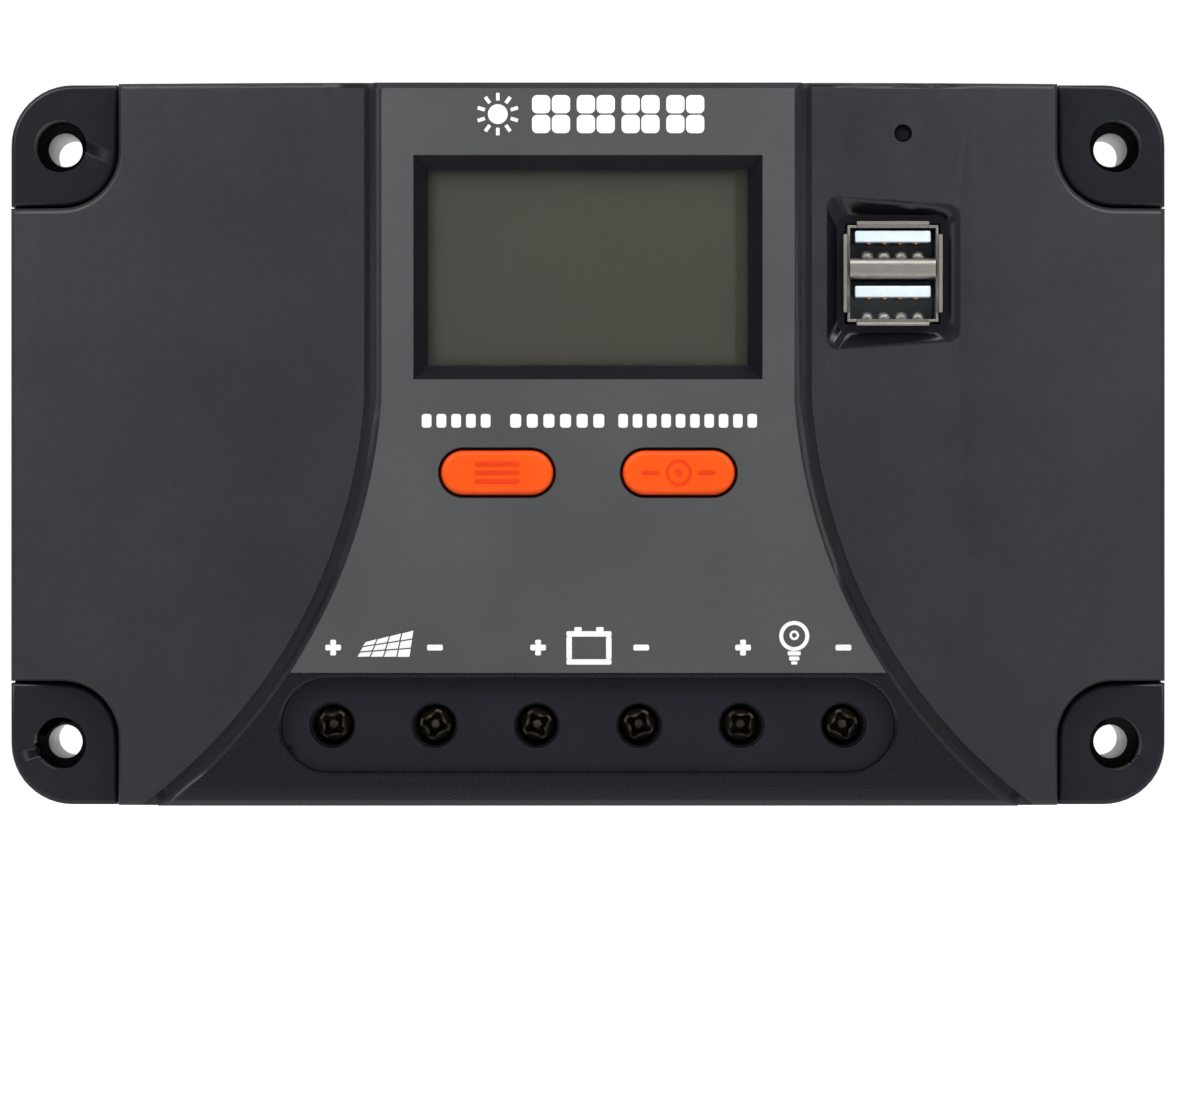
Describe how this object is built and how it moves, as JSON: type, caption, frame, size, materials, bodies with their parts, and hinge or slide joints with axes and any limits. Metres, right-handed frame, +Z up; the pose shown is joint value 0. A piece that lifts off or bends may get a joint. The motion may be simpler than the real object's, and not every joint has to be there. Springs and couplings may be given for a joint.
{
  "type": "solar charge controller",
  "caption": "Wall-mounted solar charge controller with corner ears, display, two push buttons, stacked USB sockets, status light and screw terminals with rising clamps",
  "frame": {"origin": "centre of the four wall-mounting holes, on the wall plane behind the case", "axes": "+Z up along the wall, +X to the right seen from the front, the front faces -Y and the wall is behind at +Y"},
  "size_m": [0.17, 0.0449, 0.106],
  "materials": {
    "case_plastic": "fine spark-eroded texture, black",
    "label_grey": "satin grey film with white print",
    "button_orange": "satin orange",
    "clear_window": "clear acrylic",
    "lcd_face": "unlit display, olive grey",
    "white_plastic": "white",
    "black_plastic": "plain moulded",
    "circuit_board": "green solder mask",
    "tin_plate": "tin plated sheet",
    "gold_plate": "gold plated",
    "screw_steel": "yellow zinc plated, dull",
    "cage_steel": "zinc plated",
    "sink_metal": "extruded, plain",
    "chip_black": "moulded epoxy",
    "sleeve": "shrink sleeve",
    "ferrite": "ferrite",
    "copper": "tinned copper alloy",
    "fuse_green": "translucent green",
    "pad_grey": "thermal pad",
    "pipe_clear": "smoked clear plastic"
  },
  "bodies": {
    "case": {"rear_housing": "case_plastic", "front_cover": "case_plastic", "terminal_guard": "case_plastic", "panel_label": "label_grey", "lcd_window": "clear_window", "lcd_glass": "lcd_face", "lcd_backlight": "white_plastic", "lcd_frame": "black_plastic", "display_board": "circuit_board", "display_board_screws": "cage_steel", "switch_bodies": "black_plastic", "usb_shell": "tin_plate", "usb_insulator": "white_plastic", "usb_contacts": "gold_plate", "usb_board": "circuit_board", "usb_headers": "black_plastic", "status_led": "pipe_clear", "light_pipe": "pipe_clear", "main_board": "circuit_board", "main_board_screws": "cage_steel", "board_header": "black_plastic", "header_pins": "gold_plate", "capacitors": "sleeve", "choke": "ferrite", "current_shunt": "copper", "blade_fuse": "fuse_green", "controller_chip": "chip_black", "buzzer": "chip_black", "contact_bars": "copper", "heat_sink": "sink_metal", "heat_sink_screws": "cage_steel", "insulating_pads": "pad_grey", "power_transistors": "chip_black", "transistor_screws": "cage_steel", "case_screws": "cage_steel", "terminal_block_1": "black_plastic", "terminal_block_2": "black_plastic", "terminal_block_3": "black_plastic", "terminal_block_4": "black_plastic", "terminal_block_5": "black_plastic", "terminal_block_6": "black_plastic"},
    "menu_key": {"menu_button": "button_orange", "menu_switch_plunger": "black_plastic"},
    "set_key": {"set_button": "button_orange", "set_switch_plunger": "black_plastic"},
    "screw_1": {"terminal_screw_1": "screw_steel"},
    "clamp_1": {"clamp_cage_1": "cage_steel"},
    "screw_2": {"terminal_screw_2": "screw_steel"},
    "clamp_2": {"clamp_cage_2": "cage_steel"},
    "screw_3": {"terminal_screw_3": "screw_steel"},
    "clamp_3": {"clamp_cage_3": "cage_steel"},
    "screw_4": {"terminal_screw_4": "screw_steel"},
    "clamp_4": {"clamp_cage_4": "cage_steel"},
    "screw_5": {"terminal_screw_5": "screw_steel"},
    "clamp_5": {"clamp_cage_5": "cage_steel"},
    "screw_6": {"terminal_screw_6": "screw_steel"},
    "clamp_6": {"clamp_cage_6": "cage_steel"}
  },
  "joints": [
    {"name": "menu_press", "type": "slide", "parent": "case", "child": "menu_key", "axis": [0, 1, 0], "range_m": [0, 0.0005], "stiffness_N_per_m": 1200, "springref_m": -0.0008},
    {"name": "set_press", "type": "slide", "parent": "case", "child": "set_key", "axis": [0, 1, 0], "range_m": [0, 0.0005], "stiffness_N_per_m": 1200, "springref_m": -0.0008},
    {"name": "screw_1_turn", "type": "hinge", "parent": "case", "child": "screw_1", "pos_m": [-0.0375, -0.033, -0.0412], "axis": [0, 1, 0], "range_deg": [0, 2160]},
    {"name": "clamp_1_rise", "type": "slide", "parent": "case", "child": "clamp_1", "axis": [0, -1, 0], "range_m": [0, 0.0042]},
    {"name": "screw_2_turn", "type": "hinge", "parent": "case", "child": "screw_2", "pos_m": [-0.0225, -0.033, -0.0412], "axis": [0, 1, 0], "range_deg": [0, 2160]},
    {"name": "clamp_2_rise", "type": "slide", "parent": "case", "child": "clamp_2", "axis": [0, -1, 0], "range_m": [0, 0.0042]},
    {"name": "screw_3_turn", "type": "hinge", "parent": "case", "child": "screw_3", "pos_m": [-0.0075, -0.033, -0.0412], "axis": [0, 1, 0], "range_deg": [0, 2160]},
    {"name": "clamp_3_rise", "type": "slide", "parent": "case", "child": "clamp_3", "axis": [0, -1, 0], "range_m": [0, 0.0042]},
    {"name": "screw_4_turn", "type": "hinge", "parent": "case", "child": "screw_4", "pos_m": [0.0075, -0.033, -0.0412], "axis": [0, 1, 0], "range_deg": [0, 2160]},
    {"name": "clamp_4_rise", "type": "slide", "parent": "case", "child": "clamp_4", "axis": [0, -1, 0], "range_m": [0, 0.0042]},
    {"name": "screw_5_turn", "type": "hinge", "parent": "case", "child": "screw_5", "pos_m": [0.0225, -0.033, -0.0412], "axis": [0, 1, 0], "range_deg": [0, 2160]},
    {"name": "clamp_5_rise", "type": "slide", "parent": "case", "child": "clamp_5", "axis": [0, -1, 0], "range_m": [0, 0.0042]},
    {"name": "screw_6_turn", "type": "hinge", "parent": "case", "child": "screw_6", "pos_m": [0.0375, -0.033, -0.0412], "axis": [0, 1, 0], "range_deg": [0, 2160]},
    {"name": "clamp_6_rise", "type": "slide", "parent": "case", "child": "clamp_6", "axis": [0, -1, 0], "range_m": [0, 0.0042]}
  ],
  "couplings": [
    {"joint": "screw_1_turn", "follows": "clamp_1_rise", "rad_per_m": 8975.9},
    {"joint": "screw_2_turn", "follows": "clamp_2_rise", "rad_per_m": 8975.9},
    {"joint": "screw_3_turn", "follows": "clamp_3_rise", "rad_per_m": 8975.9},
    {"joint": "screw_4_turn", "follows": "clamp_4_rise", "rad_per_m": 8975.9},
    {"joint": "screw_5_turn", "follows": "clamp_5_rise", "rad_per_m": 8975.9},
    {"joint": "screw_6_turn", "follows": "clamp_6_rise", "rad_per_m": 8975.9}
  ]
}
